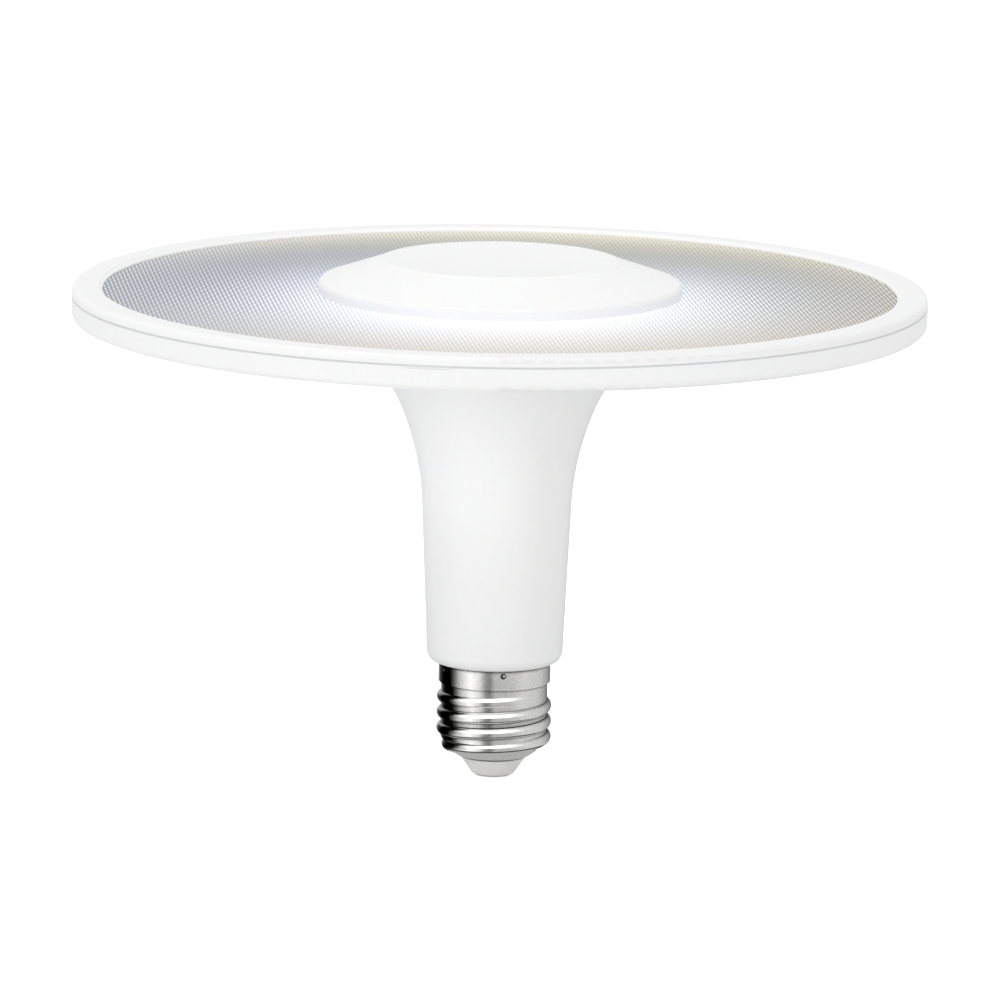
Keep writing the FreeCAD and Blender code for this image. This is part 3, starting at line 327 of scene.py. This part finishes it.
# Lattice of dots, in turns per metre along x and y. Two families of lines cross, and the rows
# between them stand out most. The values were set near the peaks of a Fourier transform of the
# photo, which differ from place to place.
FIRST_LINES = (562.0, 270.0)
SECOND_LINES = (500.0, -148.0)
DOT_ROWS = (FIRST_LINES[0] + SECOND_LINES[0], FIRST_LINES[1] + SECOND_LINES[1])
LINE_SHARE = 0.24
ROW_SHARE = 0.9
# How far the print departs from the plate's painted grey, and the share of that left at the hub
CONTRAST_FRONT = 0.19
CONTRAST_SIDE = 0.7
CONTRAST_AT_HUB = 0.5
SEEN_THROUGH_SHADE = 0.34


def light_guide():
    """Clear acrylic with a printed lattice of dots, lit from its inner edge; its grey face is painted shade
    of the dim inside seen through it.
    """
    g = Graph("light_guide_lattice")
    x, y = g.place()[:2]
    lines = g.math("ADD", g.waves(x, y, FIRST_LINES), g.waves(x, y, SECOND_LINES))
    crossing = g.math("MULTIPLY", lines, LINE_SHARE)
    dots = g.math("MULTIPLY_ADD", g.waves(x, y, DOT_ROWS), ROW_SHARE, crossing)
    radius = g.distance(x, y)
    sideways = g.math("POWER", g.math("DIVIDE", x, radius), 4.0)
    parts = {
        "hub": g.ramp(radius, HUB_R, WINDOW_R, 1.0, 0.0),
        "front": g.math("MULTIPLY", y, -1.0 / WINDOW_R),
        "side": g.math("MULTIPLY", x, 1.0 / WINDOW_R),
    }
    channels = []
    for channel in range(3):
        total = 0.0
        for term, weights in GUIDE_AND_PAINTED_LIGHT.items():
            factors = [parts[word] for word in term.split()]
            product = factors[0] if len(factors) == 1 else g.math("MULTIPLY", *factors)
            total = g.math("MULTIPLY_ADD", product, weights[channel], total)
        channels.append(total)
    glow = g.add("ShaderNodeCombineColor", dict(zip(("Red", "Green", "Blue"), channels))).outputs[0]
    # Dots scatter more light than the clear acrylic between them
    across = g.ramp(sideways, 0.0, 1.0, CONTRAST_FRONT, CONTRAST_SIDE)
    toward_hub = g.ramp(parts["hub"], 0.6, 1.0, 1.0, CONTRAST_AT_HUB)
    print_light = g.math("MULTIPLY_ADD", dots, g.math("MULTIPLY", across, toward_hub), 1.0)
    # The clear plate's grey face is painted shade of the dim inside seen through it
    face = g.math("MULTIPLY", print_light, SEEN_THROUGH_SHADE)
    colour = g.add("ShaderNodeCombineColor", {"Red": face, "Green": face, "Blue": face}).outputs[0]
    g.set(Base_Color=colour, Roughness=0.3, IOR=1.49, Specular_IOR_Level=0.25)
    g.set(Coat_Weight=0.12, Coat_Roughness=0.08, Coat_IOR=1.49)
    g.set(Emission_Color=glow, Emission_Strength=print_light)
    return g


plate_lattice = light_guide()

# Inside finishes

aluminium = metal("drawn_aluminium", grey(0.82), 0.34, 0.06, 700.0, (1.0, 1.0, 0.15))
screw_steel = metal("screw_steel", grey(0.62), 0.3)
strip_white = moulded("strip_white", grey(0.8), 0.4)
sleeve_white = moulded("sleeve_natural", grey(0.74, (1.0, 0.98, 0.93)), 0.5, 0.02)
board_green = moulded("board_green", (0.03, 0.17, 0.07, 1.0), 0.35, 0.05)
case_black = moulded("case_black", (0.018, 0.018, 0.02, 1.0), 0.4, 0.05)
film_red = moulded("film_red", (0.42, 0.05, 0.03, 1.0), 0.3, 0.02)
can_dark = moulded("can_sleeve", (0.02, 0.026, 0.05, 1.0), 0.28, 0.02)
resistor_grey_blue = moulded("resistor_grey", (0.28, 0.36, 0.4, 1.0), 0.4, 0.02)
lead_red = moulded("lead_red", (0.5, 0.02, 0.015, 1.0), 0.45, 0.02)
lead_black = moulded("lead_black", (0.015, 0.015, 0.016, 1.0), 0.45, 0.02)
lead_white = moulded("lead_white", (0.74, 0.74, 0.72, 1.0), 0.45, 0.02)
ferrite = moulded("ferrite", (0.05, 0.05, 0.052, 1.0), 0.55, 0.1)
phosphor = moulded("led_phosphor", (0.86, 0.72, 0.2, 1.0), 0.5, 0.03)
phosphor.set(Emission_Color=(1.0, 0.95, 0.85, 1.0), Emission_Strength=0.4)

FINISHES = {
    "centre_contact": tip_plate,
    "cap_insulator": insulator_white,
    "screw_shell": cap_plate,
    "trumpet_housing": neck_white,
    "cooling_cup": aluminium,
    "led_drum": aluminium,
    "drum_screws": screw_steel,
    "led_strip": strip_white,
    "leds": phosphor,
    "light_guide_plate": plate_lattice,
    "lower_rim_ring": rim_white,
    "upper_rim_ring": rim_white,
    "centre_cover": cover_white,
    "driver_sleeve": sleeve_white,
    "driver_board": board_green,
    "bridge_rectifier": case_black,
    "driver_chip": case_black,
    "film_capacitor": film_red,
    "bulk_capacitor": can_dark,
    "output_capacitor": can_dark,
    "fusible_resistor": resistor_grey_blue,
    "transformer": ferrite,
    "live_lead": lead_black,
    "neutral_lead": lead_white,
    "led_lead_front": lead_red,
    "led_lead_back": lead_black,
}
for node_name, finish in FINISHES.items():
    paint(node_name, finish)

# Floor: white, bright enough to read as the page, and it keeps the lamp's shadow


def flat_square(name, half, height):
    mesh = bpy.data.meshes.new(name)
    corners = [(-half, -half, height), (half, -half, height), (half, half, height), (-half, half, height)]
    mesh.from_pydata(corners, [], [(0, 1, 2, 3)])
    piece = bpy.data.objects.new(name, mesh)
    bpy.context.scene.collection.objects.link(piece)
    return piece


# The floor lies a hair under the lamp's tip, and the tent's foot a hair over it
HAIR = 0.00002
floor = flat_square("floor", 12.0, -HAIR)
page = Graph("page_white")
page.set(Base_Color=grey(0.85), Roughness=0.9, Specular_IOR_Level=0.0)
page.set(Emission_Color=grey(1.0))
seen = page.add("ShaderNodeLightPath")
page.set(Emission_Strength=page.math("MULTIPLY", seen.outputs["Is Camera Ray"], 0.6))
floor.data.materials.append(page.material)

# Light tent round the cap: strips of light and dark that only the gloss sees

TENT_R = 0.055
TENT_TOP = 0.095
TENT_SIDES = 128
# Heights or radii between which one part of the tent fades into the next
LOW_TO_HIGH_Z = (0.0175, 0.024)
CONTACT_TO_FOOT_R = (0.0145, 0.016)
FOOT_TO_STRIPS_R = (0.0185, 0.022)
TRAY_Z = 0.0005


def around_lamp(azimuth, distance, height):
    """A place round the lamp: azimuth 0 is toward the camera, positive to the right."""
    a = math.radians(azimuth)
    return (math.sin(a) * distance, -math.cos(a) * distance, height)


def strips(g, turn, stops):
    """A ramp round the tent: stops are (azimuth in degrees, level)."""
    node = g.add("ShaderNodeValToRGB", {"Fac": turn})
    ramp = node.color_ramp
    while len(ramp.elements) < len(stops):
        ramp.elements.new(0.5)
    for element, (azimuth, level) in zip(ramp.elements, stops):
        element.position = (azimuth + 180.0) / 360.0
        element.color = grey(level)
    return node.outputs["Color"]


def light_tent():
    count = TENT_SIDES
    ring = [around_lamp(360.0 * i / count, TENT_R, HAIR) for i in range(count)]
    corners = ring + [(x, y, TENT_TOP) for x, y, z in ring]
    faces = [(i, (i + 1) % count, (i + 1) % count + count, i + count) for i in range(count)]
    middle = len(corners)
    corners.append((0.0, 0.0, HAIR))
    faces += [((i + 1) % count, i, middle) for i in range(count)]
    mesh = bpy.data.meshes.new("light_tent")
    mesh.from_pydata(corners, [], faces)
    piece = bpy.data.objects.new("light_tent", mesh)
    bpy.context.scene.collection.objects.link(piece)
    g = Graph("tent_strips")
    x, y, z = g.place()
    turn = g.ramp(g.math("ARCTAN2", x, g.math("MULTIPLY", y, -1.0)), -math.pi, math.pi)
    low = strips(g, turn, [
        (-178.0, 0.75), (-152.0, 0.55), (-136.0, 0.05), (-120.0, 0.0), (-90.0, 0.0), (-80.0, 0.15),
        (-66.0, 0.72), (-44.0, 1.3), (-28.0, 0.95), (-16.0, 0.35), (-8.0, 0.24), (2.0, 0.58),
        (30.0, 0.62), (57.0, 0.8), (99.0, 0.7), (129.0, 0.4), (154.0, 0.12), (176.0, 0.4),
    ])
    high = strips(g, turn, [
        (-178.0, 0.8), (-140.0, 0.4), (-122.0, 0.0), (-84.0, 0.0), (-68.0, 1.0), (-50.0, 2.2),
        (20.0, 2.0), (38.0, 1.3), (60.0, 0.85), (110.0, 0.65), (150.0, 0.15), (176.0, 0.5),
    ])
    wall = g.mix(g.ramp(z, *LOW_TO_HIGH_Z, 0.0, 1.0, True), low, high)
    out = g.distance(x, y)
    foot = g.mix(g.ramp(out, *CONTACT_TO_FOOT_R, 0.0, 1.0, True), grey(0.52), grey(0.05))
    tray = g.mix(g.ramp(out, *FOOT_TO_STRIPS_R, 0.0, 1.0, True), foot, low)
    shade = g.mix(g.math("LESS_THAN", z, TRAY_Z), wall, tray)
    glow = g.add("ShaderNodeEmission", {"Color": shade, "Strength": 1.0})
    g.tree.links.new(glow.outputs[0], g.output.inputs["Surface"])
    g.material.cycles.emission_sampling = "NONE"
    mesh.materials.append(g.material)
    piece.visible_camera = False
    piece.visible_diffuse = False
    piece.visible_shadow = False
    piece.visible_transmission = False


light_tent()

# Lights


def softbox(name, place, width, height, power, aim=(0.0, 0.0, 0.06)):
    data = bpy.data.lights.new(name, "AREA")
    data.shape = "RECTANGLE"
    data.size = width
    data.size_y = height
    data.energy = power
    lamp = bpy.data.objects.new(name, data)
    bpy.context.scene.collection.objects.link(lamp)
    lamp.location = place
    direction = Vector(aim) - Vector(place)
    lamp.rotation_euler = direction.to_track_quat("-Z", "Y").to_euler()
    lamp.visible_camera = False
    return lamp


softbox("key_left", around_lamp(-42.0, 1.3, 0.34), 0.9, 0.6, 2.75)
softbox("fill_right", around_lamp(35.0, 1.3, 0.34), 0.9, 0.6, 1.7)
softbox("top", (-0.1, 0.1, 1.3), 1.1, 1.1, 3.25)
# Small lights under the disc: place and aim as distance from the axis and height
for name, azimuth, place, aim, power in (
    ("neck_light", -106.0, (0.085, 0.055), (0.0, 0.06), 0.008),
    ("flare_light_left", -78.0, (0.05, 0.075), (0.03, 0.1), 0.001),
    ("flare_light", -15.0, (0.05, 0.075), (0.03, 0.1), 0.0009),
    ("flare_light_right", 100.0, (0.085, 0.07), (0.0, 0.095), 0.004),
):
    stand = around_lamp(azimuth, *place)
    small = softbox(name, stand, 0.04, 0.05, power, around_lamp(azimuth, *aim))
    small.visible_glossy = False

world = bpy.data.worlds.new("studio")
world.use_nodes = True
bpy.context.scene.world = world
tree = world.node_tree
background = tree.nodes["Background"]
ray = tree.nodes.new("ShaderNodeLightPath")
choose = tree.nodes.new("ShaderNodeMix")
choose.data_type = "RGBA"
choose.inputs[6].default_value = grey(0.84)
choose.inputs[7].default_value = grey(1.0)
tree.links.new(ray.outputs["Is Camera Ray"], choose.inputs["Factor"])
tree.links.new(choose.outputs[2], background.inputs["Color"])

# Camera, as the reference view

ELEVATION = math.radians(10.43)
ROLL = math.radians(0.861)
CAMERA_PLACE = (0.00072, -1.96696, 0.42564)
SENSOR_WIDTH_MM = 36.0
FOCAL_LENGTH_MM = 316.87
forward = Vector((0.0, math.cos(ELEVATION), -math.sin(ELEVATION)))
level_up = Vector((0.0, math.sin(ELEVATION), math.cos(ELEVATION)))
level_right = Vector((1.0, 0.0, 0.0))
right = level_right * math.cos(ROLL) + level_up * math.sin(ROLL)
up = level_up * math.cos(ROLL) - level_right * math.sin(ROLL)
camera_data = bpy.data.cameras.new("camera")
camera_data.sensor_width = SENSOR_WIDTH_MM
camera_data.lens = FOCAL_LENGTH_MM
camera_data.clip_start = 0.05
camera_data.clip_end = 100.0
camera = bpy.data.objects.new("camera", camera_data)
bpy.context.scene.collection.objects.link(camera)
turn = Matrix((right, up, -forward)).transposed().to_4x4()
camera.matrix_world = Matrix.Translation(CAMERA_PLACE) @ turn
bpy.context.scene.camera = camera
bpy.context.scene.view_settings.view_transform = "Standard"
